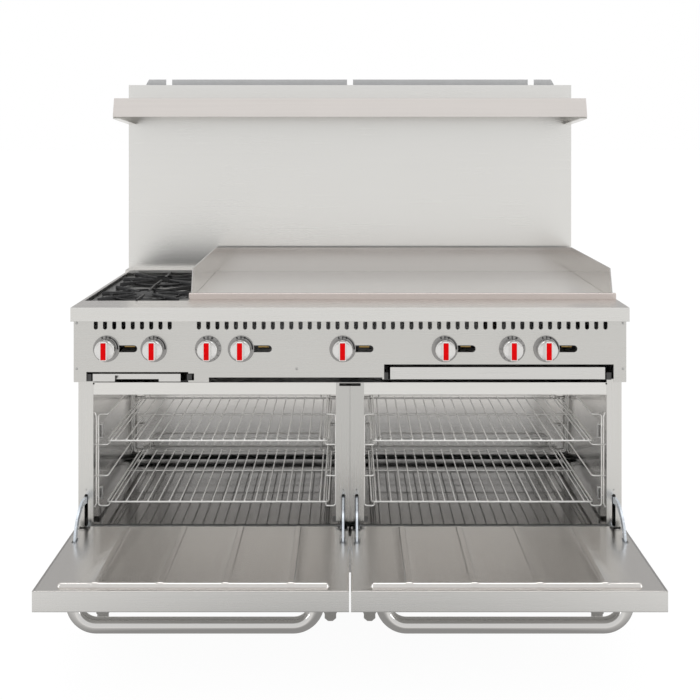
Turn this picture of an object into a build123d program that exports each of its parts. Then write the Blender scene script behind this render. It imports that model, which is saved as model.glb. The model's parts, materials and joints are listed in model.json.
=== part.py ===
from build123d import *
from math import hypot
import os

os.makedirs("parts", exist_ok=True)

# Driving dimensions in millimetres. +X is to the cook's right, +Y to the wall behind, +Z up.
# The origin is on the floor, under the middle of the range with its oven doors open.
range_width = 1524
half_width = range_width / 2
cooktop_z = 914
base_z = 152
riser_top_z = 1552
sheet = 1.5
thin_sheet = 1.2
between_sides = half_width - thin_sheet
deck_foot_z = 876

# Depths, each measured from the front plane of the oven body, minus to the front.
door_reach = 427
nose_depth = 84
panel_depth = 50
body_depth = 664
riser_depth = 753.5

face_y = (door_reach - riser_depth) / 2
nose_y = face_y - nose_depth
panel_y = face_y - panel_depth
back_y = face_y + body_depth
riser_back_y = face_y + riser_depth

# Ovens, given for the right-hand one. The left-hand one is its mirror image.
oven_middle_x = 381
cavity_inner_x = 28
cavity_outer_x = 734
cavity_floor_z = 292
cavity_roof_z = 668.8
cavity_depth = 576
column_foot_z = 300
post_foot_z = 284
opening_top_z = 656
opening_inner_x = 39.4
opening_outer_x = 720

# Doors, drawn open and level, hinged on pins low in front of the body.
hinge_y = face_y - 29.5
hinge_z = 275
door_heel_y = face_y - 20.6
door_front_y = face_y - door_reach
door_inner_z = 294
door_outer_z = 243
door_inner_x = 2.4
pin_radius = 4
pin_play = 0.05
arm_thickness = 6
arm_x_places = (18.8, 740)
arm_inner_radius = 81
arm_outer_radius = 99
arm_sweep = 112

# Racks and the wire ladders that carry them.
rung_x = 693
rung_heights = (321.6, 409, 498, 584)
rung_radius = 2.25
rack_bar_radius = 2.75
rack_cross_radius = 2.4
rack_wire_radius = 2
rack_play = 0.3

# Cooktop.
well_left_x = -753
well_right_x = -460
griddle_left_x = -460
griddle_right_x = 760
griddle_front_y = face_y + 92
griddle_back_y = face_y + 640
griddle_top_z = 913
guard_top_z = 995

# Controls, from left to right: two open burners, left oven, four griddle burners with the
# right oven between the third and the fourth.
knob_z = 795
knobs = {
    "knob_front_burner": -671.8,
    "knob_rear_burner": -541.0,
    "knob_left_oven": -391.2,
    "knob_griddle_1": -300.5,
    "knob_griddle_2": -20.3,
    "knob_griddle_3": 261.4,
    "knob_right_oven": 447.0,
    "knob_griddle_4": 541.8,
}
pilot_knobs = [x for name, x in knobs.items() if "oven" not in name and "rear" not in name]
griddle_burner_places = [x for name, x in knobs.items() if "griddle" in name]
stem_radius = 4
manifold_y = face_y + 20
manifold_radius = 13.35


def save(piece, node):
    """Name a finished piece and write its file."""
    piece.part.label = node
    export_step(piece.part, f"parts/{node}.step")


def slab(x_span, y_span, z_span, mode=Mode.ADD):
    """A flat-sided block between two x, two y and two z values, given in either order."""
    spans = (x_span, y_span, z_span)
    with Locations(tuple(sum(span) / 2 for span in spans)):
        Box(*[abs(span[1] - span[0]) for span in spans], mode=mode)


def rod(start, end, radius, mode=Mode.ADD):
    """A round bar from one point to another."""
    run = Vector(*end) - Vector(*start)
    with Locations(Plane(origin=start, z_dir=run)):
        Cylinder(radius, run.length, align=(Align.CENTER, Align.CENTER, Align.MIN), mode=mode)


def wire(points, corner, radius, close=False):
    """A bent wire as a finished solid, swept along straight runs joined by arcs."""
    with BuildPart(mode=Mode.PRIVATE) as bent:
        with BuildLine() as route:
            FilletPolyline(*points, radius=corner, close=close)
        path = route.wires()[0]
        with BuildSketch(Plane(origin=path @ 0, z_dir=path % 0)):
            Circle(radius)
        sweep(path=path)
    return bent.part


def in_y(low, high):
    """A depth span measured from the front plane of the oven body."""
    return (face_y + low, face_y + high)


# Body: outer sides, back, bottom pan, kick plate.
for side, name in ((-1, "left"), (1, "right")):
    with BuildPart() as side_panel:
        slab((side * between_sides, side * half_width), in_y(sheet, body_depth), (base_z, deck_foot_z))
    save(side_panel, f"side_panel_{name}")

gas_pipe_x = 715
flue_half_width = 150
with BuildPart() as back_panel:
    slab((-between_sides, between_sides), in_y(body_depth - sheet, body_depth), (base_z, deck_foot_z))
    for side in (-1, 1):
        flue_x = side * oven_middle_x
        flue_span = (flue_x - flue_half_width, flue_x + flue_half_width)
        slab(flue_span, in_y(body_depth - 5, body_depth + 5), (600, 650), Mode.SUBTRACT)
    rod((gas_pipe_x, back_y - 10, knob_z), (gas_pipe_x, back_y + 10, knob_z), 16, Mode.SUBTRACT)
save(back_panel, "back_panel")

with BuildPart() as base_pan:
    slab((-between_sides, between_sides), in_y(14, 662), (base_z, base_z + sheet))
    for stiffener_x in (-706, -381, -56, 56, 381, 706):
        stiffener = (stiffener_x - 15, stiffener_x + 15)
        slab(stiffener, in_y(30, 650), (base_z + sheet, base_z + 20))
save(base_pan, "base_pan")

with BuildPart() as kick_plate:
    slab((-between_sides, between_sides), in_y(12, 13.5), (base_z, 254))
    slab((-between_sides, between_sides), in_y(13.5, 28), (252.5, 254))
save(kick_plate, "kick_plate")

# Front frames: one folded sheet round each oven mouth, with slots for the hinge arms.
for side, name in ((-1, "left"), (1, "right")):
    with BuildPart() as front_frame:
        slab((side * opening_outer_x, side * half_width), in_y(0, sheet), (post_foot_z, 700))
        slab((side * 0.3, side * opening_inner_x), in_y(0, sheet), (column_foot_z, 680))
        slab((side * 30, side * 730), in_y(0, sheet), (opening_top_z, 690))
        slab((side * 0.3, side * 30), in_y(0, sheet), (688, 690))
        slab((side * 0.3, side * 35), in_y(sheet, 20), (678.5, 680))
        for arm_x in arm_x_places:
            with BuildSketch(Plane.XZ.offset(-face_y - 5)):
                with Locations((side * arm_x, 332)):
                    SlotOverall(90, 10, rotation=90)
            extrude(amount=10, mode=Mode.SUBTRACT)
            with BuildSketch(Plane.XZ.offset(-face_y - 5)):
                with Locations((side * arm_x, 389)):
                    Circle(1.5)
            extrude(amount=10, mode=Mode.SUBTRACT)
        seam = (side * (opening_outer_x - 1), side * opening_outer_x)
        slab(seam, in_y(-1, 0.5), (opening_top_z, 684), Mode.SUBTRACT)
        rod((seam[0], face_y - 1, 686.5), (seam[0], face_y + 2, 686.5), 2.5, Mode.SUBTRACT)
    save(front_frame, f"front_frame_{name}")

# Oven liners: walls, roof, front baffle with the flue gap under it, and the real back.
bridge_y = face_y + 148
for side, name in ((-1, "left"), (1, "right")):
    with BuildPart() as liner:
        inner_wall = (side * (cavity_inner_x - thin_sheet), side * cavity_inner_x)
        outer_wall = (side * cavity_outer_x, side * (cavity_outer_x + thin_sheet))
        liner_span = (inner_wall[0], outer_wall[1])
        cavity_span = (inner_wall[1], outer_wall[0])
        liner_z = (cavity_floor_z - thin_sheet, cavity_roof_z + thin_sheet)
        slab(inner_wall, in_y(sheet, 601.2), liner_z)
        slab(outer_wall, in_y(sheet, 601.2), liner_z)
        slab(liner_span, in_y(sheet, 601.2), (cavity_roof_z, cavity_roof_z + thin_sheet))
        slab(cavity_span, in_y(cavity_depth, cavity_depth + thin_sheet), (320, cavity_roof_z))
        slab(cavity_span, in_y(600, 601.2), (liner_z[0], cavity_roof_z))
        flue_x = side * oven_middle_x
        flue_span = (flue_x - flue_half_width, flue_x + flue_half_width)
        slab(flue_span, in_y(599, 603), (600, 650), Mode.SUBTRACT)
        for wall_x, inward in ((cavity_inner_x, 1), (cavity_outer_x, -1)):
            for low_z, high_z in ((314, 344), (495, 531)):
                slot_y = (bridge_y - 5, bridge_y + 5)
                bridge_x = (side * (wall_x + 3.5 * inward), side * (wall_x + 5 * inward))
                foot_x = (side * wall_x, side * (wall_x + 5 * inward))
                through_x = (side * (wall_x - 2), side * (wall_x + 2))
                slab(through_x, slot_y, (low_z, high_z), Mode.SUBTRACT)
                slab(bridge_x, slot_y, (low_z - 2, high_z + 2))
                slab(foot_x, slot_y, (low_z - 2, low_z))
                slab(foot_x, slot_y, (high_z, high_z + 2))
    save(liner, f"oven_liner_{name}")

with BuildPart() as oven_floors:
    for side in (-1, 1):
        floor_x = (side * cavity_inner_x, side * cavity_outer_x)
        floor_z = (cavity_floor_z - thin_sheet, cavity_floor_z)
        slab(floor_x, in_y(sheet, 572), floor_z)
        for edge in ((cavity_inner_x, 50), (712, cavity_outer_x)):
            slab((side * edge[0], side * edge[1]), in_y(40, 560), (cavity_floor_z, 300))
save(oven_floors, "oven_floors")

# Oven burners: a cast tube with a raised row of ports, under each oven floor.
with BuildPart() as oven_burners:
    for side in (-1, 1):
        burner_x = side * oven_middle_x
        rod((burner_x, face_y + 45, 225), (burner_x, face_y + 600, 225), 20)
        slab((burner_x - 9, burner_x + 9), in_y(120, 590), (240, 250))
        rod((burner_x, face_y + 30, 225), (burner_x, face_y + 45, 225), 27)
        for foot_y in (100, 580):
            foot_x = (burner_x - 8, burner_x + 8)
            slab(foot_x, in_y(foot_y, foot_y + 12), (base_z + 20, 212))
save(oven_burners, "oven_burners")

# Wire ladders: a bent loop makes the top and bottom rungs, cross wires make the others.
ladder_front = face_y + 63
ladder_back = face_y + 560
ladder_x = 721
second_wire_x = 727
low_rung_z = rung_heights[0]
high_rung_z = rung_heights[-1]
loop_points = [
    (ladder_x, ladder_front, low_rung_z),
    (ladder_x, ladder_front, high_rung_z),
    (rung_x, ladder_front, high_rung_z),
    (rung_x, ladder_back, high_rung_z),
    (ladder_x, ladder_back, high_rung_z),
    (ladder_x, ladder_back, low_rung_z),
    (rung_x, ladder_back, low_rung_z),
    (rung_x, ladder_front, low_rung_z),
]
ladder_loop = wire(loop_points, 8, rung_radius, close=True)
with BuildPart() as ladder:
    add(ladder_loop)
    for post_y in (ladder_front, ladder_back):
        hook_points = [
            (cavity_outer_x - 2.5, post_y, low_rung_z - 4),
            (second_wire_x, post_y, low_rung_z + 6),
            (second_wire_x, post_y, high_rung_z - 6),
            (cavity_outer_x - 2.5, post_y, high_rung_z + 4),
        ]
        add(wire(hook_points, 4, rung_radius))
    for rung_z in rung_heights[1:-1]:
        rung_points = [
            (cavity_outer_x - 3, ladder_front - 3.5, rung_z),
            (rung_x, ladder_front - 3.5, rung_z),
            (rung_x, ladder_back + 3.5, rung_z),
            (cavity_outer_x - 3, ladder_back + 3.5, rung_z),
        ]
        add(wire(rung_points, 8, rung_radius))
    for tie_z in (low_rung_z + 30, high_rung_z - 30):
        for post_y in (ladder_front, ladder_back):
            rod((ladder_x, post_y, tie_z), (second_wire_x, post_y, tie_z), 1.8)
with BuildPart() as rack_guides:
    add(ladder.part)
    mirror(ladder.part, about=Plane.YZ.offset(oven_middle_x))
    mirror(about=Plane.YZ)
save(rack_guides, "rack_guides")

# Oven racks: welded wire, a bent frame, a middle bar, long wires and a raised stop at the back.
rack_front = face_y + 80
rack_back = face_y + 549
rack_half_width = 319
rack_pitch = 30.9
rack_level = rung_heights[0] + rung_radius + rack_play + rack_bar_radius
wire_level = rack_level + rack_bar_radius + rack_wire_radius - 0.8
stop_height = 44
frame_points = [
    (oven_middle_x - rack_half_width, rack_front, rack_level),
    (oven_middle_x + rack_half_width, rack_front, rack_level),
    (oven_middle_x + rack_half_width, rack_back, rack_level),
    (oven_middle_x - rack_half_width, rack_back, rack_level),
]
stop_points = [
    (oven_middle_x - 285, rack_back, rack_level),
    (oven_middle_x - 285, rack_back, rack_level + stop_height),
    (oven_middle_x + 285, rack_back, rack_level + stop_height),
    (oven_middle_x + 285, rack_back, rack_level),
]
with BuildPart() as rack:
    add(wire(frame_points, 10, rack_bar_radius, close=True))
    add(wire(stop_points, 18, rack_cross_radius))
    rod(
        (oven_middle_x - rack_half_width, face_y + 353, rack_level),
        (oven_middle_x + rack_half_width, face_y + 353, rack_level),
        rack_cross_radius,
    )
    with BuildSketch(Plane.XZ.offset(-rack_front + 1.5)) as wire_ends:
        with Locations((oven_middle_x, wire_level)):
            with GridLocations(rack_pitch, 0, 20, 1):
                Circle(rack_wire_radius)
            with GridLocations(2 * 306, 0, 2, 1):
                Circle(rack_wire_radius)
    extrude(amount=-(rack_back - rack_front + 3))
rack_step = rung_heights[2] - rung_heights[0]
for side, name in ((-1, "left"), (1, "right")):
    for rise, level in ((0, "lower"), (rack_step, "upper")):
        with BuildPart() as placed_rack:
            with Locations(((side - 1) * oven_middle_x, 0, rise)):
                add(rack.part)
        save(placed_rack, f"rack_{name}_{level}")

# Doors: an outer pan, a beaded inner panel, insulation, a tube handle and quadrant hinge arms.
notch_width = 20
handle_radius = 19
handle_y = face_y - 356
handle_z = door_outer_z - 63.5
handle_inner_x = 81
handle_outer_x = 681
rib_places = [oven_middle_x + place for place in (-237.5, -79, 79, 237.5)]
for side, name in ((-1, "left"), (1, "right")):
    door_span = (side * door_inner_x, side * half_width)
    door_depth = (door_front_y, door_heel_y)
    with BuildPart() as door_skin:
        slab(door_span, door_depth, (door_outer_z, door_inner_z - thin_sheet))
        fillet(door_skin.edges().filter_by(Axis.X).group_by(Axis.Z)[0], 3)
        hollow_span = (door_span[0] + side * thin_sheet, door_span[1] - side * thin_sheet)
        hollow_depth = (door_front_y + thin_sheet, door_heel_y - thin_sheet)
        slab(hollow_span, hollow_depth, (door_outer_z + 3.2, door_inner_z), Mode.SUBTRACT)
        for arm_x in arm_x_places:
            notch = (side * (arm_x - notch_width / 2), side * (arm_x + notch_width / 2))
            slab(notch, (door_heel_y - 3, door_heel_y + 3), (262, door_inner_z), Mode.SUBTRACT)
    save(door_skin, f"door_skin_{name}")

    with BuildPart() as door_liner:
        slab(door_span, door_depth, (door_inner_z - thin_sheet, door_inner_z))
        for rib_x in rib_places:
            rib = (side * (rib_x - 9.5), side * (rib_x + 9.5))
            slab(rib, in_y(-395, -45), (door_inner_z, door_inner_z + 3.5))
        with BuildSketch(Plane.XY.offset(door_inner_z)):
            with Locations((side * 379.8, door_front_y + 13)):
                SlotOverall(660, 18)
        bead = extrude(amount=10)
        fillet(bead.edges().group_by(Axis.Z)[-1], 6)
        for arm_x in arm_x_places:
            notch = (side * (arm_x - notch_width / 2), side * (arm_x + notch_width / 2))
            slab(notch, (hinge_y - 9, door_heel_y + 1), (290, 296), Mode.SUBTRACT)
            arm_slot = (side * (arm_x - 5), side * (arm_x + 5))
            slab(arm_slot, (hinge_y - 104, hinge_y - 72), (290, 296), Mode.SUBTRACT)
        for screw_x in (62, 700):
            with Locations((side * screw_x, door_heel_y - 55, door_inner_z)):
                Hole(2.2, depth=thin_sheet)
    save(door_liner, f"door_liner_{name}")

    with BuildPart() as insulation:
        slab(
            (side * 32, side * 726),
            (door_front_y + 3, door_heel_y - 3),
            (door_outer_z + 3.5, door_inner_z - 1.5),
        )
    save(insulation, f"door_insulation_{name}")

    with BuildPart() as handle:
        bar_points = [
            (side * handle_inner_x, handle_y, door_outer_z),
            (side * handle_inner_x, handle_y, handle_z),
            (side * handle_outer_x, handle_y, handle_z),
            (side * handle_outer_x, handle_y, door_outer_z),
        ]
        add(wire(bar_points, 58, handle_radius))
    save(handle, f"door_handle_{name}")

    with BuildPart() as hinge_arms:
        for arm_x in arm_x_places:
            pivot = Plane(origin=(side * arm_x, hinge_y, hinge_z), x_dir=(0, -1, 0), z_dir=(-1, 0, 0))
            with BuildSketch(pivot):
                with BuildLine():
                    outer_arc = CenterArc((0, 0), arm_outer_radius, 0, arm_sweep)
                    inner_arc = CenterArc((0, 0), arm_inner_radius, 0, arm_sweep)
                    Line(outer_arc @ 0, inner_arc @ 0)
                    Line(outer_arc @ 1, inner_arc @ 1)
                make_face()
                with Locations((arm_inner_radius / 2 + 4, 0)):
                    Rectangle(arm_inner_radius + 8, 18)
                Circle(12)
                Circle(pin_radius + pin_play, mode=Mode.SUBTRACT)
            extrude(amount=arm_thickness / 2, both=True)
    save(hinge_arms, f"door_hinge_arms_{name}")

# Hinge mounts on the body: a rail behind the kick plate line, and brackets with their pins.
with BuildPart() as hinge_mounts:
    for side in (-1, 1):
        slab((side * 24.8, side * 734), in_y(2, 27), (255, 290))
        for bracket_x, pin_end, head_end in ((731, 744, 747), (27.8, 14.8, 11.8)):
            plate_x = (side * bracket_x, side * (bracket_x + (3 if bracket_x > 100 else -3)))
            slab(plate_x, (hinge_y, face_y + 2), (hinge_z - 6, hinge_z + 6))
            rod((plate_x[0], hinge_y, hinge_z), (plate_x[1], hinge_y, hinge_z), 10)
            rod((plate_x[0], hinge_y, hinge_z), (side * pin_end, hinge_y, hinge_z), pin_radius)
            rod((side * pin_end, hinge_y, hinge_z), (side * head_end, hinge_y, hinge_z), 6)
save(hinge_mounts, "hinge_mounts")

# Cooktop deck: bull nose, landing strip, burner surround and the raised ledge at its back.
with BuildPart() as cooktop_deck:
    top_z = (cooktop_z - sheet, cooktop_z)
    full_x = (-half_width, half_width)
    slab(full_x, (nose_y, nose_y + sheet), (deck_foot_z, cooktop_z))
    slab(full_x, (nose_y, panel_y + 12), (deck_foot_z, deck_foot_z + sheet))
    slab(full_x, (nose_y, face_y + 33), top_z)
    slab((griddle_left_x, half_width), in_y(33, 52), top_z)
    slab((-half_width, well_left_x), in_y(33, body_depth), top_z)
    slab((-half_width, griddle_left_x), in_y(608, body_depth), top_z)
    slab((-half_width, griddle_left_x), in_y(608, 609.5), (cooktop_z, 922))
    slab((-half_width, griddle_left_x), in_y(608, body_depth), (922 - sheet, 922))
    for side in (-1, 1):
        slab((side * between_sides, side * half_width), (nose_y, back_y), (deck_foot_z, cooktop_z))
    slab((-between_sides, between_sides), in_y(body_depth - sheet, body_depth), (deck_foot_z, cooktop_z - 30))
    fillet(cooktop_deck.edges().filter_by(Axis.X).group_by(Axis.Y)[0], 1)
save(cooktop_deck, "cooktop_deck")

# Burner bowls: one enamelled pressing with two round bowls.
burner_x = (well_left_x + well_right_x) / 2
burner_places = [face_y + 177, face_y + 464]
bowl_rim_z = 903
bowl_floor_z = 872
with BuildPart() as burner_bowls:
    slab((-752.5, -460.5), in_y(33.5, 607.5), (bowl_rim_z, bowl_rim_z + thin_sheet))
    for burner_y in burner_places:
        with Locations((burner_x, burner_y, (bowl_rim_z + bowl_floor_z) / 2)):
            Cone(95, 128, bowl_rim_z - bowl_floor_z)
    for burner_y in burner_places:
        with Locations((burner_x, burner_y, (bowl_rim_z + bowl_floor_z) / 2 + 1.5)):
            Cone(94, 127, bowl_rim_z - bowl_floor_z, mode=Mode.SUBTRACT)
        with Locations((burner_x, burner_y, bowl_floor_z)):
            Cylinder(42, 20, mode=Mode.SUBTRACT)
save(burner_bowls, "burner_bowls")

# Open burners: a cast star head on a throat, standing through each bowl.
with BuildPart() as open_burners:
    for burner_y in burner_places:
        with BuildSketch(Plane(origin=(burner_x, burner_y, 882))):
            Circle(26)
            with PolarLocations(32, 8):
                Rectangle(40, 11)
        extrude(amount=15)
        rod((burner_x, burner_y, 850), (burner_x, burner_y, 882), 22)
        rod((burner_x, burner_y, 897), (burner_x, burner_y, 900), 16)
save(open_burners, "open_burners")

# Grates: eight cast fingers on two rings, open over the burner. The tips rest on the bowl rim.
grate_low_z = bowl_rim_z + thin_sheet + 0.3
grate_top_z = 918
finger_width = 9
finger_root = 34
finger_tips = [(side * 131, 0) for side in (-1, 1)]
finger_tips += [(0, side * 141) for side in (-1, 1)]
finger_tips += [(across * 115, along * 118) for across in (-1, 1) for along in (-1, 1)]
for burner_y, name in zip(burner_places, ("front", "rear")):
    with BuildPart() as grate:
        for inner, outer in ((60, 68), (98, 106)):
            with BuildSketch(Plane(origin=(burner_x, burner_y, grate_low_z))):
                Circle(outer)
                Circle(inner, mode=Mode.SUBTRACT)
            extrude(amount=5)
        for tip in finger_tips:
            reach = hypot(*tip)
            upright = Plane(
                origin=(burner_x, burner_y, grate_low_z),
                x_dir=(*tip, 0),
                z_dir=(tip[1], -tip[0], 0),
            )
            high = grate_top_z - grate_low_z
            with BuildSketch(upright):
                with BuildLine():
                    Polyline(
                        (finger_root, 4),
                        (finger_root, high - 3),
                        (finger_root + 4, high),
                        (reach - 5, high),
                        (reach, high - 5),
                        (reach, 0),
                        (finger_root + 26, 0),
                        close=True,
                    )
                make_face()
            extrude(amount=finger_width / 2, both=True)
    save(grate, f"grate_{name}")

# Griddle: a thick plate, a welded guard on three sides, and a grease trough in front.
guard_sheet = 3
with BuildPart() as griddle_plate:
    plate_x = (griddle_left_x + guard_sheet + 0.5, griddle_right_x - guard_sheet - 0.5)
    slab(plate_x, (griddle_front_y, griddle_back_y - 0.5), (griddle_top_z - 25, griddle_top_z))
    fillet(griddle_plate.edges().filter_by(Axis.X).group_by(Axis.Y)[0].sort_by(Axis.Z)[-1], 6)
save(griddle_plate, "griddle_plate")

with BuildPart() as splash_guard:
    low_z = griddle_top_z - 25
    back_span = (griddle_back_y, griddle_back_y + guard_sheet)
    slab((griddle_left_x, griddle_right_x), back_span, (low_z, guard_top_z))
    for edge_x in (griddle_left_x, griddle_right_x - guard_sheet):
        with BuildSketch(Plane.YZ.offset(edge_x)):
            with BuildLine():
                Polyline(
                    (griddle_front_y, low_z),
                    (griddle_front_y, 927),
                    (face_y + 116, guard_top_z),
                    (griddle_back_y, guard_top_z),
                    (griddle_back_y, low_z),
                    close=True,
                )
            make_face()
        extrude(amount=guard_sheet)
save(splash_guard, "griddle_splash_guard")

drain_x = 400
with BuildPart() as trough:
    trough_x = (griddle_left_x, griddle_right_x)
    slab(trough_x, in_y(52, 62), (888, 932))
    slab(trough_x, in_y(62, 91), (888, 890))
    slab(trough_x, in_y(89.5, 91), (890, 906))
    for edge_x in (griddle_left_x, griddle_right_x - guard_sheet):
        slab((edge_x, edge_x + guard_sheet), in_y(62, 91), (890, 927))
    slab((drain_x - 32, drain_x + 32), in_y(64, 88), (748, 888))
    slab((drain_x - 30, drain_x + 30), in_y(66, 86), (740, 895), Mode.SUBTRACT)
    fillet(trough.edges().filter_by(Axis.X).group_by(Axis.Z)[-1], 3)
    slab((-half_width, half_width), in_y(50, 54.5), (cooktop_z, cooktop_z + 3), Mode.SUBTRACT)
save(trough, "griddle_trough")

# Griddle burners: a steel tube loop under the plate for each griddle control.
with BuildPart() as griddle_burners:
    for burner_at in griddle_burner_places:
        loop = [
            (burner_at - 55, face_y + 110, 855),
            (burner_at + 55, face_y + 110, 855),
            (burner_at + 55, face_y + 600, 855),
            (burner_at - 55, face_y + 600, 855),
        ]
        add(wire(loop, 28, 12.5, close=True))
        rod((burner_at, face_y + 50, 855), (burner_at, face_y + 110, 855), 12.5)
save(griddle_burners, "griddle_burners")

# Riser: a front sheet with side returns, a rear sheet with a notched top flange, flue ducts.
with BuildPart() as riser_front:
    slab((-half_width, half_width), in_y(664.5, 666), (deck_foot_z, riser_top_z))
    for side in (-1, 1):
        slab((side * 760.5, side * half_width), in_y(666, 751.5), (deck_foot_z, riser_top_z))
    slab((-760.5, 760.5), in_y(666, 680), (riser_top_z - sheet, riser_top_z))
save(riser_front, "riser_front")

flange_top_z = 1575
with BuildPart() as riser_rear:
    with BuildSketch(Plane.XZ.offset(-riser_back_y)):
        with BuildLine():
            Polyline(
                (-760, deck_foot_z),
                (-760, 1548),
                (-724, 1548),
                (-709, flange_top_z),
                (709, flange_top_z),
                (724, 1548),
                (760, 1548),
                (760, deck_foot_z),
                close=True,
            )
        make_face()
        for notch_x in (-638, 0, 638):
            with Locations((notch_x, flange_top_z)):
                Rectangle(21, 46, mode=Mode.SUBTRACT)
    extrude(amount=sheet)
save(riser_rear, "riser_rear")

with BuildPart() as flue_ducts:
    for side in (-1, 1):
        flue_x = side * oven_middle_x
        outer_x = (flue_x - flue_half_width - 5, flue_x + flue_half_width + 5)
        inner_x = (outer_x[0] + thin_sheet, outer_x[1] - thin_sheet)
        slab(outer_x, in_y(body_depth, 751), (590, deck_foot_z))
        slab(inner_x, in_y(body_depth - 1, 751 - thin_sheet), (591.2, deck_foot_z + 4), Mode.SUBTRACT)
save(flue_ducts, "flue_ducts")

# High shelf: one folded sheet with a sloping front, on two folded end brackets.
shelf_top_z = 1500
with BuildPart() as high_shelf:
    with BuildSketch(Plane.YZ.offset(-half_width)):
        with BuildLine():
            Polyline(
                (face_y + 664.5, shelf_top_z),
                (face_y + 440, shelf_top_z),
                (face_y + 422, 1440),
                (face_y + 436, 1440),
                (face_y + 436, 1441.5),
                (face_y + 424, 1441.5),
                (face_y + 441.2, shelf_top_z - sheet),
                (face_y + 664.5, shelf_top_z - sheet),
                close=True,
            )
        make_face()
    extrude(amount=range_width)
save(high_shelf, "high_shelf")

with BuildPart() as shelf_brackets:
    for side in (-1, 1):
        outer_plane = Plane.YZ.offset(side * (half_width - 0.5))
        with BuildSketch(outer_plane):
            with BuildLine():
                Polyline(
                    (face_y + 422, 1433),
                    (face_y + 664.5, 1416),
                    (face_y + 664.5, shelf_top_z - sheet),
                    (face_y + 443, shelf_top_z - sheet),
                    (face_y + 438, 1439.8),
                    (face_y + 422, 1439.8),
                    close=True,
                )
            make_face()
        extrude(amount=-side * sheet)
        with BuildSketch(outer_plane):
            with BuildLine():
                Polyline(
                    (face_y + 422, 1433),
                    (face_y + 664.5, 1416),
                    (face_y + 664.5, 1417.5),
                    (face_y + 422, 1434.5),
                    close=True,
                )
            make_face()
        extrude(amount=-side * 25)
save(shelf_brackets, "shelf_brackets")

# Control panel: one sheet with vents, control and pilot holes and the tray mouths.
panel_foot_z = 703
vent_pitch = 25.48
vent_width = 11.4
with BuildPart() as control_panel:
    slab((-half_width, half_width), in_y(-50, -50 + sheet), (panel_foot_z, deck_foot_z))
    slab((-between_sides, between_sides), in_y(-50 + sheet, -36), (deck_foot_z - sheet, deck_foot_z))
    for side in (-1, 1):
        slab((side * between_sides, side * half_width), in_y(-50 + sheet, 0), (panel_foot_z, deck_foot_z))
    for mouth_x, mouth_top in (((-727, -446), 731), ((-389, 89), 716), ((94, 727), 752)):
        slab(mouth_x, in_y(-55, -45), (panel_foot_z - 5, mouth_top), Mode.SUBTRACT)
    slab((-450, -430), in_y(-55, -45), (708, 727), Mode.SUBTRACT)
    slab((88, 95), in_y(-55, -45), (panel_foot_z - 5, 711), Mode.SUBTRACT)
    slab((-430, 89), in_y(-51, -49.6), (729.7, 730.7), Mode.SUBTRACT)
    with BuildSketch(Plane.XZ.offset(-panel_y + 5)):
        for first_x, count in ((-701, 9), (-416.6, 45)):
            middle_x = first_x + (count - 1) * vent_pitch / 2
            with Locations((middle_x, 860)):
                with GridLocations(vent_pitch, 0, count, 1):
                    SlotOverall(24, vent_width, rotation=90)
        for knob_x in knobs.values():
            with Locations((knob_x, knob_z)):
                Circle(8)
        for knob_x in pilot_knobs:
            with Locations((knob_x + 56, knob_z)):
                SlotOverall(58, 19)
    extrude(amount=-10, mode=Mode.SUBTRACT)
save(control_panel, "control_panel")

with BuildPart() as bezels:
    for knob_x in knobs.values():
        rod((knob_x, panel_y, knob_z), (knob_x, panel_y - 3, knob_z), 36.5)
    fillet(bezels.edges().filter_by(GeomType.CIRCLE).group_by(Axis.Y)[0], 1)
    for knob_x in knobs.values():
        rod((knob_x, panel_y + 1, knob_z), (knob_x, panel_y - 4, knob_z), 8, Mode.SUBTRACT)
save(bezels, "knob_bezels")

# Knobs: a cast knob with a grip bar and its stem, and the coloured marker let into the bar.
knob_back_y = panel_y - 4
knob_disc_y = panel_y - 27
knob_front_y = panel_y - 39.5
for node, knob_x in knobs.items():
    with BuildPart() as knob:
        rod((knob_x, knob_back_y, knob_z), (knob_x, knob_disc_y, knob_z), 28)
        fillet(knob.edges().filter_by(GeomType.CIRCLE).group_by(Axis.Y)[0], 2.5)
        with BuildSketch(Plane.XZ.offset(-knob_disc_y - 2)):
            with Locations((knob_x, knob_z)):
                RectangleRounded(22, 54, 4)
        extrude(amount=knob_disc_y + 2 - knob_front_y)
        fillet(knob.faces().sort_by(Axis.Y)[0].edges(), 1.5)
        recess_x = (knob_x - 7.6, knob_x + 7.6)
        recess_z = (knob_z - 23.1, knob_z + 23.1)
        slab(recess_x, (knob_front_y - 1, knob_front_y + 2), recess_z, Mode.SUBTRACT)
        rod((knob_x, knob_back_y + 25, knob_z), (knob_x, knob_back_y, knob_z), stem_radius)
        marker_y = (knob_front_y, knob_front_y + 1.95)
        slab((knob_x - 7.5, knob_x + 7.5), marker_y, (knob_z - 23, knob_z + 23))
    save(knob, node)

# Gas train behind the panel: valves and thermostats on a manifold that feeds from the back.
with BuildPart() as gas_valves:
    for node, knob_x in knobs.items():
        half_block = 22 if "oven" in node else 14
        block_x = (knob_x - half_block, knob_x + half_block)
        block_z = (knob_z - half_block, knob_z + half_block)
        slab(block_x, in_y(-38, manifold_y - face_y - manifold_radius - 0.1), block_z)
        rod(
            (knob_x, panel_y, knob_z),
            (knob_x, knob_back_y + 27, knob_z),
            stem_radius + pin_play,
            Mode.SUBTRACT,
        )
save(gas_valves, "gas_valves")

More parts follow.
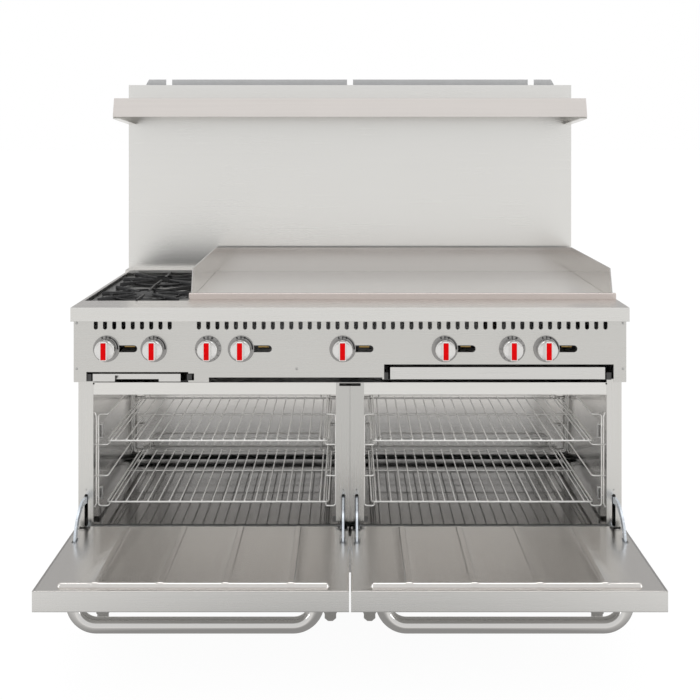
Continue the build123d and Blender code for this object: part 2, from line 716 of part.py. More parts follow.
union_y = face_y + 690
with BuildPart() as gas_manifold:
    manifold_points = [
        (-700, manifold_y, knob_z),
        (gas_pipe_x, manifold_y, knob_z),
        (gas_pipe_x, union_y, knob_z),
    ]
    add(wire(manifold_points, 30, manifold_radius))
    rod((-706, manifold_y, knob_z), (-690, manifold_y, knob_z), 17)
    with BuildSketch(Plane(origin=(gas_pipe_x, union_y, knob_z), z_dir=(0, 1, 0))):
        RegularPolygon(20, 6)
    extrude(amount=22)
    rod((gas_pipe_x, union_y + 22, knob_z), (gas_pipe_x, riser_back_y, knob_z), manifold_radius)
save(gas_manifold, "gas_manifold")

pilot_y = panel_y + 25
pilot_z = 796.5
with BuildPart() as pilot_valves:
    for knob_x in pilot_knobs:
        rod((knob_x + 46, pilot_y, pilot_z), (knob_x + 74, pilot_y, pilot_z), 3.6)
        rod((knob_x + 56, pilot_y, pilot_z), (knob_x + 56, manifold_y - 15, pilot_z), 3)
save(pilot_valves, "pilot_valves")

screw_places = [(x, z) for x in (-754, -459, 753) for z in (740, 866)] + [(-147, 740)]
with BuildPart() as panel_screws:
    for screw_x, screw_z in screw_places:
        with Locations((screw_x, panel_y, screw_z)):
            Sphere(4.2)
    slab((-half_width, half_width), (panel_y, panel_y + 20), (700, 880), Mode.SUBTRACT)
    slab((-half_width, half_width), (panel_y - 2, panel_y - 20), (700, 880), Mode.SUBTRACT)
save(panel_screws, "panel_screws")

# Trays: the drip tray under the open burners and the grease tray under the griddle.
with BuildPart() as drip_tray:
    slab((-709, -467), in_y(-51.5, -50), (705, 726))
    slab((-648, -527), in_y(-53, -49), (707, 722), Mode.SUBTRACT)
    slab((-700, -476), in_y(-50, 560), (707, 724))
    slab((-698.8, -477.2), in_y(-30, 558.8), (708.2, 730), Mode.SUBTRACT)
    slab((-648, -527), in_y(-60, -31.2), (700, 722), Mode.SUBTRACT)
    slab((-698.8, -477.2), in_y(-50, -31.2), (708.2, 722), Mode.SUBTRACT)
save(drip_tray, "drip_tray")

with BuildPart() as grease_tray:
    slab((111, 703), in_y(-51.5, -50), (711.5, 744.5))
    slab((120, 694), in_y(-50, 470), (713, 742))
    slab((121.2, 692.8), in_y(-48.8, 468.8), (714.2, 750), Mode.SUBTRACT)
    with BuildSketch(Plane.XZ.offset(-face_y + 51.5)):
        with Locations((408, 722)):
            RectangleRounded(117, 14, 5)
    extrude(amount=0.8)
save(grease_tray, "grease_tray")

with BuildPart() as tray_runners:
    runners = (
        (-716, -691, 704, -45, 600),
        (-449, -485, 704, -45, 600),
        (104, 129, 708.5, -45, 500),
        (710, 685, 708.5, -45, 500),
    )
    for wall_x, lip_x, rest_z, near, far in runners:
        inward = 1 if lip_x > wall_x else -1
        slab((wall_x, lip_x), in_y(near, far), (rest_z, rest_z + sheet))
        slab((wall_x, wall_x + inward * sheet), in_y(near, far), (rest_z, rest_z + 20))
        slab((wall_x, wall_x - inward * 12), in_y(near, near + 3), (rest_z, rest_z + 20))
save(tray_runners, "tray_runners")

# Legs: eight steel sleeves with plates, each with a screwed levelling foot.
leg_places = [(x, face_y + y) for x in (-706, -56, 56, 706) for y in (55, 600)]
foot_height = 20
stud_radius = 6
with BuildPart() as legs:
    for leg_x, leg_y in leg_places:
        rod((leg_x, leg_y, foot_height), (leg_x, leg_y, base_z - 3), 18.8)
        slab((leg_x - 42, leg_x + 42), (leg_y - 40, leg_y + 40), (base_z - 3, base_z))
    for leg_x, leg_y in leg_places:
        rod((leg_x, leg_y, 0), (leg_x, leg_y, 75), stud_radius + pin_play, Mode.SUBTRACT)
save(legs, "legs")

with BuildPart() as feet:
    for leg_x, leg_y in leg_places:
        with BuildSketch(Plane(origin=(leg_x, leg_y, 0))):
            RegularPolygon(16.5, 6)
        extrude(amount=foot_height)
    chamfer(feet.edges().group_by(Axis.Z)[0], 3)
    for leg_x, leg_y in leg_places:
        rod((leg_x, leg_y, foot_height), (leg_x, leg_y, 70), stud_radius)
save(feet, "levelling_feet")
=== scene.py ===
import bmesh
import bpy
import json
import math
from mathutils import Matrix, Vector

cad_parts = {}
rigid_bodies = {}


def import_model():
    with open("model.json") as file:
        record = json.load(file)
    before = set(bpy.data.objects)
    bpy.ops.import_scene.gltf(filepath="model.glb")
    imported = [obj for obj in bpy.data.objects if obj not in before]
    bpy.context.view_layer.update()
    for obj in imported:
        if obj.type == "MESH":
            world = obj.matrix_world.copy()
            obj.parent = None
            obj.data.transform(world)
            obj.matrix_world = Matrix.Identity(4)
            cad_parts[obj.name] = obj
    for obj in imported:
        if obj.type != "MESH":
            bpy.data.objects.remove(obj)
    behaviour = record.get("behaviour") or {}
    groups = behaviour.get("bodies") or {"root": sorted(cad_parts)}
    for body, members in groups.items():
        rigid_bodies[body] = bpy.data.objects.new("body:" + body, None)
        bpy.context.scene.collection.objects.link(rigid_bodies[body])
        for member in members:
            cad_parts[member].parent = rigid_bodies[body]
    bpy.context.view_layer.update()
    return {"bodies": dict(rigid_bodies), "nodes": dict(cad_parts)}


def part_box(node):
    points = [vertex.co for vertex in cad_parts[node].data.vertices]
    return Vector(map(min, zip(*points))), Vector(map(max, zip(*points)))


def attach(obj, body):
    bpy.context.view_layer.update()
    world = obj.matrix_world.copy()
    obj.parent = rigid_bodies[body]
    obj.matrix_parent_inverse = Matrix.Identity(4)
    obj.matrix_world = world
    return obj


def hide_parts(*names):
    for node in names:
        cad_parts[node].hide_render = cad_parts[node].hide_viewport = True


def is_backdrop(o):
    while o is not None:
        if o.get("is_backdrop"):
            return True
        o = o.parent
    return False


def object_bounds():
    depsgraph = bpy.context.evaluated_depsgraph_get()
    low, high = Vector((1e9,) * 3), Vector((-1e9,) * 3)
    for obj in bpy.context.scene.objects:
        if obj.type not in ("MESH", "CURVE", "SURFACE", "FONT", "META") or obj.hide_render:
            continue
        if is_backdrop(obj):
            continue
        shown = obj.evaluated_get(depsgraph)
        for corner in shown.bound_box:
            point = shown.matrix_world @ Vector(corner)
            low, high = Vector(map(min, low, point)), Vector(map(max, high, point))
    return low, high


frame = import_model()

# The studio: a white room with a wide overhead light, two side lights and a floor that is mostly lit by
# itself, seen from a cook's eye height in front of the range. In mirror reflections only, the floor glows
# darker near the range, as painted shade of the range, and the room behind the range is dimmer.
scene = bpy.context.scene
scene.view_settings.view_transform = "Standard"
front_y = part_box("front_frame_left")[0].y

lens = bpy.data.cameras.new("camera")
lens.sensor_width = 36
lens.lens = 53.49
lens.shift_y = -0.317
lens.clip_end = 200
camera = bpy.data.objects.new("camera", lens)
camera.location = (0, front_y - 2.918, 1.4036)
camera.rotation_euler = (math.pi / 2, 0, 0)
scene.collection.objects.link(camera)
scene.camera = camera

room = bpy.data.worlds.new("room")
room.use_nodes = True
room_nodes = room.node_tree.nodes
room_links = room.node_tree.links
room_nodes["Background"].inputs["Color"].default_value = (1, 1, 1, 1)
room_nodes["Background"].inputs["Strength"].default_value = 1.0
wall_light = room_nodes.new("ShaderNodeBackground")
heading = room_nodes.new("ShaderNodeTexCoord")
along_y = room_nodes.new("ShaderNodeSeparateXYZ")
dim_wall = room_nodes.new("ShaderNodeMapRange")
dim_wall.inputs["From Min"].default_value = -0.1
dim_wall.inputs["From Max"].default_value = 0.7
dim_wall.inputs["To Min"].default_value = 1.0
dim_wall.inputs["To Max"].default_value = 0.6
in_mirror = room_nodes.new("ShaderNodeLightPath")
room_choice = room_nodes.new("ShaderNodeMixShader")
room_links.new(heading.outputs["Generated"], along_y.inputs["Vector"])
room_links.new(along_y.outputs["Y"], dim_wall.inputs["Value"])
room_links.new(dim_wall.outputs["Result"], wall_light.inputs["Strength"])
room_links.new(in_mirror.outputs["Is Glossy Ray"], room_choice.inputs["Fac"])
room_links.new(room_nodes["Background"].outputs["Background"], room_choice.inputs[1])
room_links.new(wall_light.outputs["Background"], room_choice.inputs[2])
room_links.new(room_choice.outputs["Shader"], room_nodes["World Output"].inputs["Surface"])
scene.world = room


def softbox(name, place, aim, width, height, watts):
    """A large soft studio light, aimed at a point."""
    lamp = bpy.data.lights.new(name, "AREA")
    lamp.shape = "RECTANGLE"
    lamp.size = width
    lamp.size_y = height
    lamp.energy = watts
    light = bpy.data.objects.new(name, lamp)
    light.location = place
    light.rotation_euler = (Vector(aim) - Vector(place)).to_track_quat("-Z", "Y").to_euler()
    scene.collection.objects.link(light)


softbox("overhead_light", (0, -0.5, 3.9), (0, 0, 0.8), 3.6, 1.6, 24)
softbox("left_light", (-3.4, -2.4, 1.7), (0, 0, 0.7), 1.2, 2.2, 16)
softbox("right_light", (3.4, -2.4, 1.7), (0, 0, 0.7), 1.2, 2.2, 16)

floor_mesh = bpy.data.meshes.new("studio_floor")
reach = 60
corners = [(-reach, -reach, 0), (reach, -reach, 0), (reach, reach, 0), (-reach, reach, 0)]
floor_mesh.from_pydata(corners, [], [(0, 1, 2, 3)])
floor = bpy.data.objects.new("studio_floor", floor_mesh)
floor.location.z = -0.0005
scene.collection.objects.link(floor)
floor_paint = bpy.data.materials.new("pale floor paint")
floor_paint.use_nodes = True
floor_nodes = floor_paint.node_tree.nodes
floor_links = floor_paint.node_tree.links
floor_nodes.remove(floor_nodes["Principled BSDF"])
matt = floor_nodes.new("ShaderNodeBsdfDiffuse")
matt.inputs["Color"].default_value = (0.95, 0.95, 0.95, 1)
glow = floor_nodes.new("ShaderNodeEmission")
glow.inputs["Color"].default_value = (1, 1, 1, 1)
glow.inputs["Strength"].default_value = 1.02
paint = floor_nodes.new("ShaderNodeMixShader")
paint.inputs["Fac"].default_value = 0.93
floor_place = floor_nodes.new("ShaderNodeTexCoord")
from_middle = floor_nodes.new("ShaderNodeVectorMath")
from_middle.operation = "LENGTH"
# Painted shade: in mirror reflections the floor glows dimmer within about 1.6 m of the range's middle.
shade = floor_nodes.new("ShaderNodeMapRange")
shade.inputs["From Min"].default_value = 0.85
shade.inputs["From Max"].default_value = 1.6
shade.inputs["To Min"].default_value = 0.34
shade.inputs["To Max"].default_value = 0.86
mirrored = floor_nodes.new("ShaderNodeEmission")
mirrored.inputs["Color"].default_value = (1, 0.99, 0.975, 1)
in_metal = floor_nodes.new("ShaderNodeLightPath")
choice = floor_nodes.new("ShaderNodeMixShader")
floor_links.new(floor_place.outputs["Object"], from_middle.inputs[0])
floor_links.new(from_middle.outputs["Value"], shade.inputs["Value"])
floor_links.new(shade.outputs["Result"], mirrored.inputs["Strength"])
floor_links.new(matt.outputs["BSDF"], paint.inputs[1])
floor_links.new(glow.outputs["Emission"], paint.inputs[2])
floor_links.new(in_metal.outputs["Is Glossy Ray"], choice.inputs["Fac"])
floor_links.new(paint.outputs["Shader"], choice.inputs[1])
floor_links.new(mirrored.outputs["Emission"], choice.inputs[2])
floor_links.new(choice.outputs["Shader"], floor_nodes["Material Output"].inputs["Surface"])
floor_mesh.materials.append(floor_paint)
floor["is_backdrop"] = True


# Legs and levelling feet: 38 mm steel tubes welded to square plates, with hexagonal feet on
# screwed studs. Bare satin steel, brushed up and down.
def new_finish(name):
    """A material with its tree and its main shader."""
    finish = bpy.data.materials.new(name)
    finish.use_nodes = True
    return finish, finish.node_tree, finish.node_tree.nodes["Principled BSDF"]


def pattern(tree, scale, detail):
    """Soft random noise fixed to the piece, with so many changes a metre along x, y and z."""
    place = tree.nodes.new("ShaderNodeTexCoord")
    stretch = tree.nodes.new("ShaderNodeMapping")
    stretch.inputs["Scale"].default_value = scale
    noise = tree.nodes.new("ShaderNodeTexNoise")
    noise.inputs["Scale"].default_value = 1
    noise.inputs["Detail"].default_value = detail
    tree.links.new(place.outputs["Object"], stretch.inputs["Vector"])
    tree.links.new(stretch.outputs["Vector"], noise.inputs["Vector"])
    return noise.outputs["Fac"]


def blended(tree, first, second, share):
    """Two patterns in one, with a share of the second."""
    mix = tree.nodes.new("ShaderNodeMix")
    mix.inputs["Factor"].default_value = share
    tree.links.new(first, mix.inputs[2])
    tree.links.new(second, mix.inputs[3])
    return mix.outputs[0]


def spread(tree, source, low, high, socket):
    """The middle half of a pattern, stretched between two values of a shader's number."""
    ranged = tree.nodes.new("ShaderNodeMapRange")
    ranged.inputs["From Min"].default_value = 0.3
    ranged.inputs["From Max"].default_value = 0.7
    ranged.inputs["To Min"].default_value = low
    ranged.inputs["To Max"].default_value = high
    tree.links.new(source, ranged.inputs["Value"])
    tree.links.new(ranged.outputs["Result"], socket)


def tint(tree, source, dark, light, shader):
    """Colour that drifts between a dark and a light shade with a pattern."""
    ramp = tree.nodes.new("ShaderNodeValToRGB")
    ramp.color_ramp.elements[0].position = 0.3
    ramp.color_ramp.elements[0].color = (*dark, 1)
    ramp.color_ramp.elements[1].position = 0.7
    ramp.color_ramp.elements[1].color = (*light, 1)
    tree.links.new(source, ramp.inputs["Fac"])
    tree.links.new(ramp.outputs["Color"], shader.inputs["Base Color"])


def relief(tree, source, depth, shader):
    """Fine surface relief, so many metres deep."""
    bump = tree.nodes.new("ShaderNodeBump")
    bump.inputs["Distance"].default_value = depth
    bump.inputs["Strength"].default_value = 1
    tree.links.new(source, bump.inputs["Height"])
    tree.links.new(bump.outputs["Normal"], shader.inputs["Normal"])


def brush(tree, shader, colour, grain, rough, contrast=0.022, depth=0.0000025):
    """Brushed sheet: fine and broad scratches along the grain, over faint cloudy patches."""
    hairs = pattern(tree, [6 if axis == grain else 900 for axis in "xyz"], 4)
    bands = pattern(tree, [1.5 if axis == grain else 130 for axis in "xyz"], 3)
    clouds = pattern(tree, (4, 4, 4), 2)
    scratches = blended(tree, hairs, bands, 0.45)
    worn = blended(tree, scratches, clouds, 0.35)
    dark = [c * (1 - contrast) for c in colour]
    light = [min(1, c * (1 + contrast)) for c in colour]
    tint(tree, scratches, dark, light, shader)
    spread(tree, worn, rough - 0.035, rough + 0.045, shader.inputs["Roughness"])
    relief(tree, scratches, depth, shader)


def brushed_steel(name, *brushing):
    """A material of brushed sheet."""
    finish, tree, shader = new_finish(name)
    shader.inputs["Metallic"].default_value = 1
    brush(tree, shader, *brushing)
    return finish


def dress(finish, *nodes):
    """Put a finish on CAD nodes."""
    for node in nodes:
        for place in frame["nodes"][node].material_slots:
            place.material = finish


steel_colour = (0.72, 0.715, 0.695)
upright_steel = brushed_steel("leg steel", (0.56, 0.55, 0.53), "z", 0.3)
dress(upright_steel, "legs", "levelling_feet")

# Body sheets: folded stainless side panels, brushed up and down, and a kick plate brushed across.
# They are fixed from inside, so no screw shows.
body_steel = brushed_steel("body sheet steel", steel_colour, "z", 0.27, 0.014)
dress(body_steel, "side_panel_left", "side_panel_right")
across_steel = brushed_steel("brushed stainless sheet", (0.755, 0.75, 0.735), "x", 0.26, 0.014)
dress(across_steel, "kick_plate")


# Front frames: one folded sheet round each oven mouth, with posts brushed up and down and a strip brushed
# across between them. The two middle posts are painted darker, as painted shade, and the strip above the
# mouths is painted lighter, as painted light.
def worked_out(tree, operation, *terms):
    """One step of arithmetic on patterns and numbers."""
    step = tree.nodes.new("ShaderNodeMath")
    step.operation = operation
    for place, term in zip(step.inputs, terms):
        if isinstance(term, float):
            place.default_value = term
        else:
            tree.links.new(term, place)
    return step.outputs["Value"]


def axes(tree):
    """The x, y and z of each place on a piece."""
    place = tree.nodes.new("ShaderNodeTexCoord")
    parts = tree.nodes.new("ShaderNodeSeparateXYZ")
    tree.links.new(place.outputs["Object"], parts.inputs["Vector"])
    return parts.outputs["X"], parts.outputs["Y"], parts.outputs["Z"]


def shaded(tree, shader, area, share):
    """Multiply the colour that feeds a shader by a share, inside an area."""
    shade = tree.nodes.new("ShaderNodeMix")
    shade.data_type = "RGBA"
    shade.inputs[6].default_value = (1, 1, 1, 1)
    shade.inputs[7].default_value = (share, share, share, 1)
    tree.links.new(area, shade.inputs["Factor"])
    product = tree.nodes.new("ShaderNodeMix")
    product.data_type = "RGBA"
    product.blend_type = "MULTIPLY"
    product.inputs["Factor"].default_value = 1
    tree.links.new(shader.inputs["Base Color"].links[0].from_socket, product.inputs[6])
    tree.links.new(shade.outputs[2], product.inputs[7])
    tree.links.new(product.outputs[2], shader.inputs["Base Color"])


middle_post = 0.0394
outer_post = 0.7195
strip_bottom = 0.656
frame_steel, frame_tree, frame_shader = new_finish("front frame steel")
frame_shader.inputs["Metallic"].default_value = 1
frame_x, frame_y, frame_z = axes(frame_tree)
from_centre = worked_out(frame_tree, "ABSOLUTE", frame_x)
middle_post_shade = worked_out(frame_tree, "LESS_THAN", from_centre, middle_post)
past_middle = worked_out(frame_tree, "GREATER_THAN", from_centre, middle_post)
inside_outer = worked_out(frame_tree, "LESS_THAN", from_centre, outer_post)
between_posts = worked_out(frame_tree, "MULTIPLY", past_middle, inside_outer)
above_mouth = worked_out(frame_tree, "GREATER_THAN", frame_z, strip_bottom)
in_strip = worked_out(frame_tree, "MULTIPLY", above_mouth, between_posts)
upright_grain = pattern(frame_tree, (130, 130, 1.5), 4)
across_grain = pattern(frame_tree, (1.5, 130, 130), 4)
frame_grain = frame_tree.nodes.new("ShaderNodeMix")
frame_tree.links.new(in_strip, frame_grain.inputs["Factor"])
frame_tree.links.new(upright_grain, frame_grain.inputs[2])
frame_tree.links.new(across_grain, frame_grain.inputs[3])
grain = frame_grain.outputs[0]
tint(frame_tree, grain, (0.71, 0.705, 0.685), (0.73, 0.725, 0.705), frame_shader)
# Painted shade on the two middle posts, and painted light on the strip above the mouths.
shaded(frame_tree, frame_shader, middle_post_shade, 0.82)
shaded(frame_tree, frame_shader, in_strip, 1.13)
spread(frame_tree, grain, 0.23, 0.29, frame_shader.inputs["Roughness"])
relief(frame_tree, grain, 0.0000025, frame_shader)
dress(frame_steel, "front_frame_left", "front_frame_right")


# Rear and inner sheets: the back panel, bottom pan, riser's rear sheet, flue ducts and hinge rails
# are bent from aluminised steel. From the front only the top flange of the riser's rear shows.
def aluminised(name, colour):
    """Aluminised sheet: a dull spangled skin with soft grey patches."""
    finish, tree, shader = new_finish(name)
    shader.inputs["Metallic"].default_value = 1
    spangle = pattern(tree, (220, 220, 220), 3)
    clouds = pattern(tree, (14, 14, 14), 4)
    skin = blended(tree, spangle, clouds, 0.5)
    tint(tree, skin, [c * 0.9 for c in colour], [c * 1.06 for c in colour], shader)
    spread(tree, skin, 0.36, 0.52, shader.inputs["Roughness"])
    relief(tree, spangle, 0.00003, shader)
    return finish


plain_sheet = aluminised("aluminised sheet", (0.6, 0.605, 0.61))
dress(plain_sheet, "back_panel", "base_pan", "riser_rear", "flue_ducts", "hinge_mounts")

# Oven linings: light steel sheet boxes with a loose floor plate in each, smooth enough to show
# blurred racks, and brushed front to back on the floor. Bright straps are lanced in the walls.
def plate(tree, shader, colour, rough):
    """Plated skin, bright and faintly rippled."""
    ripple = pattern(tree, (130, 130, 130), 3)
    specks = pattern(tree, (700, 700, 700), 2)
    skin = blended(tree, ripple, specks, 0.4)
    tint(tree, skin, [c * 0.94 for c in colour], [min(1, c * 1.04) for c in colour], shader)
    spread(tree, skin, rough - 0.05, rough + 0.07, shader.inputs["Roughness"])
    relief(tree, ripple, 0.00006, shader)


plating = 0.45


def plated_wire(name, colour, rough):
    """Plated drawn wire."""
    finish, tree, shader = new_finish(name)
    shader.inputs["Metallic"].default_value = plating
    plate(tree, shader, colour, rough)
    return finish


def skin_of(shader):
    """What feeds a shader's colour, roughness and relief."""
    return [shader.inputs[name].links[0].from_socket for name in ("Base Color", "Roughness", "Normal")]


def joined(tree, shader, area, outside):
    """Keep an earlier skin outside an area, and the skin that was laid last inside it."""
    inside = skin_of(shader)
    sockets = (("Base Color", "RGBA", 6, 2), ("Roughness", "FLOAT", 2, 0), ("Normal", "VECTOR", 4, 1))
    for (name, kind, first, result), outer, inner in zip(sockets, outside, inside):
        mix = tree.nodes.new("ShaderNodeMix")
        mix.data_type = kind
        tree.links.new(area, mix.inputs[0])
        tree.links.new(outer, mix.inputs[first])
        tree.links.new(inner, mix.inputs[first + 1])
        tree.links.new(mix.outputs[result], shader.inputs[name])


def ranged_by(tree, area, outside, inside, socket):
    """A shader's number with one value outside an area and another inside it."""
    level = tree.nodes.new("ShaderNodeMapRange")
    level.inputs["To Min"].default_value = outside
    level.inputs["To Max"].default_value = inside
    tree.links.new(area, level.inputs["Value"])
    tree.links.new(level.outputs["Result"], socket)


strap_y = front_y + 0.148
strap_half_depth = 0.0052
strap_heights = ((0.329, 0.0175), (0.513, 0.0205))
lining, lining_tree, lining_shader = new_finish("oven lining")
lining_x, lining_y, lining_z = axes(lining_tree)
at_strap_y = worked_out(lining_tree, "COMPARE", lining_y, strap_y, strap_half_depth)
strap_bands = [worked_out(lining_tree, "COMPARE", lining_z, *height) for height in strap_heights]
in_bands = worked_out(lining_tree, "ADD", *strap_bands)
on_strap = worked_out(lining_tree, "MULTIPLY", at_strap_y, in_bands)
brush(lining_tree, lining_shader, (0.92, 0.91, 0.895), "x", 0.18, 0.015)
wall_skin = skin_of(lining_shader)
plate(lining_tree, lining_shader, (1.0, 1.0, 0.98), 0.3)
joined(lining_tree, lining_shader, on_strap, wall_skin)
ranged_by(lining_tree, on_strap, 1, plating, lining_shader.inputs["Metallic"])
dress(lining, "oven_liner_left", "oven_liner_right")
floor_steel = brushed_steel("oven floor steel", (0.27, 0.265, 0.26), "y", 0.11, 0.02)
dress(floor_steel, "oven_floors")


# Burners under the oven floors and the griddle: cast iron bars under the ovens, and plain steel
# tube loops under the griddle. Both are out of sight in use.
def cast_iron(name, colour, rough):
    """Sand-cast iron with a baked black coat, grainy to the touch."""
    finish, tree, shader = new_finish(name)
    sand = pattern(tree, (900, 900, 900), 4)
    patches = pattern(tree, (60, 60, 60), 3)
    skin = blended(tree, sand, patches, 0.4)
    tint(tree, skin, [c * 0.7 for c in colour], [c * 1.4 for c in colour], shader)
    spread(tree, skin, rough - 0.1, rough + 0.14, shader.inputs["Roughness"])
    relief(tree, sand, 0.00016, shader)
    shader.inputs["Specular IOR Level"].default_value = 0.55
    return finish


iron = cast_iron("black cast iron", (0.011, 0.011, 0.012), 0.38)
dress(iron, "oven_burners")
tube_steel = brushed_steel("burner tube steel", (0.42, 0.42, 0.43), "x", 0.42, 0.1)
dress(tube_steel, "griddle_burners")


# Ladders and racks: nickel-plated wire, welded where it crosses, with the slight ripple of drawn
# wire. The ladders stand against the oven walls, and the racks slide on them.
wire_nickel = plated_wire("nickel plate", (1.0, 0.985, 0.95), 0.22)
racks = ["rack_left_lower", "rack_left_upper", "rack_right_lower", "rack_right_upper"]
dress(wire_nickel, "rack_guides", *racks)

# Door skins and handles: each door is a shallow stainless pan, brushed across, with a bent
# 38 mm tube handle welded under its front edge.
dress(across_steel, "door_skin_left", "door_skin_right")
handle_steel = brushed_steel("handle tube steel", (0.74, 0.73, 0.715), "x", 0.09, 0.02)
dress(handle_steel, "door_handle_left", "door_handle_right")


# Door inner panels: one pressed sheet on each door, brushed front to back. A rounded bead runs
# along the front edge, and four flat ribs stiffen the middle. Slots let the hinge arms through.
def smooth_step(value):
    """0 below 0, 1 above 1, and a smooth slope between."""
    value = max(0, min(1, value))
    return value * value * (3 - 2 * value)


def put(name, shape, finish, body, slot, *nodes, sharp=35):
    """Make a finished piece from a shape: smooth faces, sharp creases and its body; the slot is not used."""
    bmesh.ops.recalc_face_normals(shape, faces=shape.faces)
    for face in shape.faces:
        face.smooth = True
    for edge in shape.edges:
        if len(edge.link_faces) == 2 and edge.calc_face_angle() > math.radians(sharp):
            edge.smooth = False
    mesh = bpy.data.meshes.new(name)
    shape.to_mesh(mesh)
    shape.free()
    mesh.materials.append(finish)
    piece = bpy.data.objects.new(name, mesh)
    scene.collection.objects.link(piece)
    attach(piece, body)
    if nodes:
        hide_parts(*nodes)
    return piece


def stepped(stops, coarse):
    """Places from the first stop to the last: (place, spacing up to it) pairs, spaced evenly."""
    places = [stops[0][0]]
    for place, spacing in stops[1:]:
        count = max(1, round((place - places[-1]) / (spacing or coarse)))
        start = places[-1]
        places += [start + (place - start) * step / count for step in range(1, count + 1)]
    return places


sheet_gauge = 0.0012
rib_half = 0.0095
rib_rise = 0.0042
bead_radius = 0.009
bead_rise = 0.0095
liner_finish = brushed_steel("door inner sheet", (0.75, 0.725, 0.7), "y", 0.23, 0.025, 0.000002)
for side, hand in ((-1, "left"), (1, "right")):
    low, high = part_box(f"door_liner_{hand}")
    base_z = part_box(f"door_skin_{hand}")[1].z + sheet_gauge
    inner_x, outer_x = 0.0024, 0.762
    rib_xs = [outer_x / 2 + place for place in (-0.2375, -0.079, 0.079, 0.2375)]
    bead_y = low.y + 0.030
    bead_ends = (0.0498 + bead_radius, 0.7098 - bead_radius)
    arm_xs = (0.0188, 0.740)
    hinge_y = front_y - 0.0295
    notch_y = hinge_y - 0.009
    slot_near, slot_far = hinge_y - 0.104, hinge_y - 0.072
    stops = [(inner_x, 0), (0.0088, 0), (0.0138, 0), (0.0238, 0), (0.0288, 0)]
    stops += [(0.048, 0), (0.064, 0.0016)]
    for rib_x in rib_xs:
        stops += [(rib_x - rib_half - 0.0004, 0), (rib_x + rib_half + 0.0004, 0.0011)]
    stops += [(0.696, 0), (0.712, 0.0016)]
    stops += [(0.730, 0), (0.735, 0), (0.745, 0), (0.750, 0), (outer_x, 0)]
    xs = stepped(stops, 0.02)
    deep = [(low.y, 0), (bead_y - bead_radius, 0.004), (bead_y + bead_radius, 0.0010)]
    deep += [(slot_near, 0), (slot_far, 0), (notch_y, 0)]
    deep += [(high.y - 0.010, 0), (high.y, 0.0012)]
    ys = stepped(deep, 0.02)

    def pressed(x, y):
        """Height of the pressing at a place: the rounded bead, and the flat ribs."""
        nearest = max(bead_ends[0], min(bead_ends[1], x))
        from_bead = math.hypot(x - nearest, y - bead_y) / bead_radius
        rise = bead_rise * math.sqrt(max(0, 1 - from_bead ** 2))
        for rib_x in rib_xs:
            across = smooth_step((rib_half - abs(x - rib_x)) / 0.0034)
            along = smooth_step(min(y - bead_y, high.y - 0.002 - y) / 0.007)
            over_bead = 0.0016 * across if from_bead < 1 else 0
            rise = max(rise + over_bead, rib_rise * across * along)
        return base_z + rise

    def cut_out(x, y):
        """True in the notches at the heel and in the slots for the arms."""
        near_arm = min(abs(x - arm_x) for arm_x in arm_xs)
        in_notch = near_arm < 0.010 and y > notch_y
        in_slot = near_arm < 0.005 and slot_near < y < slot_far
        return in_notch or in_slot

    shape = bmesh.new()
    grid = [[shape.verts.new((side * x, y, pressed(x, y))) for x in xs] for y in ys]
    for row in range(len(ys) - 1):
        for column in range(len(xs) - 1):
            middle = ((xs[column] + xs[column + 1]) / 2, (ys[row] + ys[row + 1]) / 2)
            if not cut_out(*middle):
                near, far = grid[row], grid[row + 1]
                shape.faces.new((near[column], near[column + 1], far[column + 1], far[column]))
    loose = [vert for vert in shape.verts if not vert.link_faces]
    bmesh.ops.delete(shape, geom=loose, context="VERTS")
    node = f"door_liner_{hand}"
    liner = put(f"door_inner_panel_{hand}", shape, liner_finish, f"{hand}_door", "oven_steel", node)
    thicken = liner.modifiers.new("sheet", "SOLIDIFY")
    thicken.thickness = sheet_gauge
    thicken.offset = 1 if liner.data.polygons[0].normal.z < 0 else -1


# Door insulation and hinge arms: ceramic wool in a foil bag, and zinc-plated steel quadrants
# that slide through slots in the body and stop the doors level.
def wool(name, colour):
    """Matted white ceramic fibre."""
    finish, tree, shader = new_finish(name)
    fibres = pattern(tree, (300, 1500, 300), 6)
    clumps = pattern(tree, (70, 70, 70), 3)
    mat = blended(tree, fibres, clumps, 0.4)
    tint(tree, mat, [c * 0.8 for c in colour], colour, shader)
    spread(tree, mat, 0.85, 1, shader.inputs["Roughness"])
    relief(tree, mat, 0.001, shader)
    return finish


dress(wool("ceramic wool", (0.83, 0.82, 0.78)), "door_insulation_left", "door_insulation_right")
zinc = plated_wire("blue zinc plate", (0.68, 0.73, 0.79), 0.24)
dress(zinc, "door_hinge_arms_left", "door_hinge_arms_right")


# Cooktop deck: one folded stainless sheet with a square nose along its front, brushed across.
# Its flat top is painted a little brighter than the nose, as painted light.
def facing(tree):
    """The x, y and z of the direction that each face looks in."""
    surface = tree.nodes.new("ShaderNodeNewGeometry")
    parts = tree.nodes.new("ShaderNodeSeparateXYZ")
    tree.links.new(surface.outputs["True Normal"], parts.inputs["Vector"])
    return parts.outputs["X"], parts.outputs["Y"], parts.outputs["Z"]


def two_steels(name, wanted, outside, inside):
    """Brushed steel with one brushing, and another in the area that a function picks."""
    finish, tree, shader = new_finish(name)
    shader.inputs["Metallic"].default_value = 1
    brush(tree, shader, *outside)
    outer_skin = skin_of(shader)
    brush(tree, shader, *inside)
    joined(tree, shader, wanted(tree), outer_skin)
    return finish


def upward(tree):
    """The faces that look up."""
    return worked_out(tree, "GREATER_THAN", facing(tree)[2], 0.9)


nose_brushing = ((0.76, 0.755, 0.735), "x", 0.27, 0.012)
lit_landing_brushing = ((0.83, 0.8, 0.77), "x", 0.27)
# Painted light: the faces that look up get a lighter copy of the deck steel.
dress(two_steels("deck steel", upward, nose_brushing, lit_landing_brushing), "cooktop_deck")


